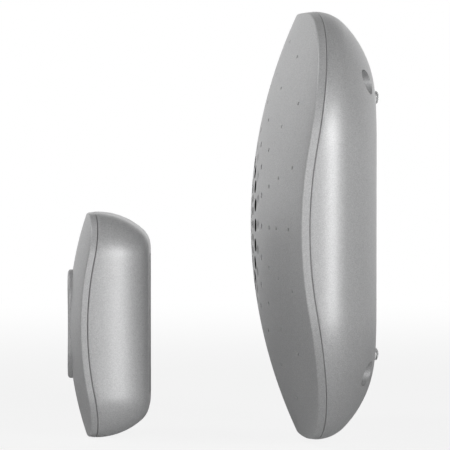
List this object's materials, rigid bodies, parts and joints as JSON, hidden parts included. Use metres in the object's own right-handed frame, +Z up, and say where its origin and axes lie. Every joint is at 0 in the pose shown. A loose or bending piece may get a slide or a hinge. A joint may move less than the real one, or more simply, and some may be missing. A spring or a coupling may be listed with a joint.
{
  "type": "wireless doorbell",
  "caption": "Wireless doorbell set: a square wall chime with a domed face of radiating sound holes, and a small domed push with an oblong button.",
  "frame": {"origin": "midway between the chime's two keyhole entries, on the flat of its back, which hangs on the wall", "axes": "+Y into the wall, +Z up, X across the set; both fronts face -Y and the push stands in front of the chime's lower half as pictured"},
  "size_m": [0.14, 0.1029, 0.1411],
  "materials": {
    "silver_housing": "satin silver metallic paint on moulded plastic",
    "silver_fascia": "satin silver metallic paint on moulded plastic",
    "silver_button": "satin silver metallic paint on moulded plastic",
    "clear_rubber": "clear soft bumper",
    "plated_screw": "zinc plated",
    "cell_jacket": "shrunk film jacket, plain",
    "contact_plating": "nickel plated spring steel",
    "grille_cloth": "fine black woven cloth",
    "black_foam": "closed cell foam",
    "black_steel": "black coated steel",
    "magnet": "sintered magnet in a plain pot",
    "cone_film": "thin formed film",
    "black_plastic": "moulded black plastic",
    "green_board": "solder resist over glass laminate",
    "chip_black": "moulded package with tinned legs",
    "shield_can": "tinned steel",
    "capacitor_sleeve": "shrunk sleeve, plain",
    "copper_wire": "enamelled copper wire",
    "grey_plastic": "moulded grey plastic",
    "cell_steel": "plain steel can"
  },
  "bodies": {
    "set": {"chime_housing": "silver_housing", "chime_fascia": "silver_fascia", "rubber_feet": "clear_rubber", "chime_case_screws": "plated_screw", "aa_cells": "cell_jacket", "battery_contacts": "contact_plating", "grille_cloth": "grille_cloth", "speaker_gasket": "black_foam", "speaker_frame": "black_steel", "speaker_magnet": "magnet", "speaker_cone": "cone_film", "speaker_dust_cap": "cone_film", "speaker_clamps": "black_plastic", "speaker_screws": "plated_screw", "chime_circuit_board": "green_board", "chime_board_screws": "plated_screw", "sound_chip": "chip_black", "radio_module": "shield_can", "smoothing_capacitor": "capacitor_sleeve", "antenna_coil": "copper_wire", "volume_switch": "shield_can", "tune_switch": "black_plastic", "push_housing": "silver_housing", "push_fascia": "silver_fascia", "push_circuit_board": "green_board", "push_board_screws": "plated_screw", "push_switch": "shield_can", "coin_cell": "cell_steel", "cell_clip": "contact_plating", "transmitter_chip": "chip_black", "resonator_can": "shield_can"},
    "button": {"push_button": "silver_button"},
    "plunger": {"push_switch_plunger": "black_plastic"},
    "battery_cover": {"chime_battery_cover": "silver_housing"},
    "volume_knob": {"volume_slider": "black_plastic"},
    "tune_cap": {"tune_button": "black_plastic"},
    "back_plate": {"push_back_plate": "grey_plastic"}
  },
  "joints": [
    {"name": "push_button_press", "type": "slide", "parent": "set", "child": "button", "axis": [0, 1, 0], "range_m": [0, 0.0008], "stiffness_N_per_m": 800},
    {"name": "switch_plunger_press", "type": "slide", "parent": "set", "child": "plunger", "axis": [0, 1, 0], "range_m": [0, 0.0008]},
    {"name": "battery_cover_lift", "type": "slide", "parent": "set", "child": "battery_cover", "axis": [0, 1, 0], "range_m": [0, 0.02]},
    {"name": "volume_slide", "type": "slide", "parent": "set", "child": "volume_knob", "axis": [1, 0, 0], "range_m": [-0.002, 0.002]},
    {"name": "tune_button_press", "type": "slide", "parent": "set", "child": "tune_cap", "axis": [0, -1, 0], "range_m": [0, 0.0005], "stiffness_N_per_m": 600},
    {"name": "back_plate_lift", "type": "slide", "parent": "set", "child": "back_plate", "axis": [0, 1, 0], "range_m": [0, 0.012]}
  ],
  "couplings": [
    {"joint": "switch_plunger_press", "follows": "push_button_press", "ratio": 1}
  ]
}
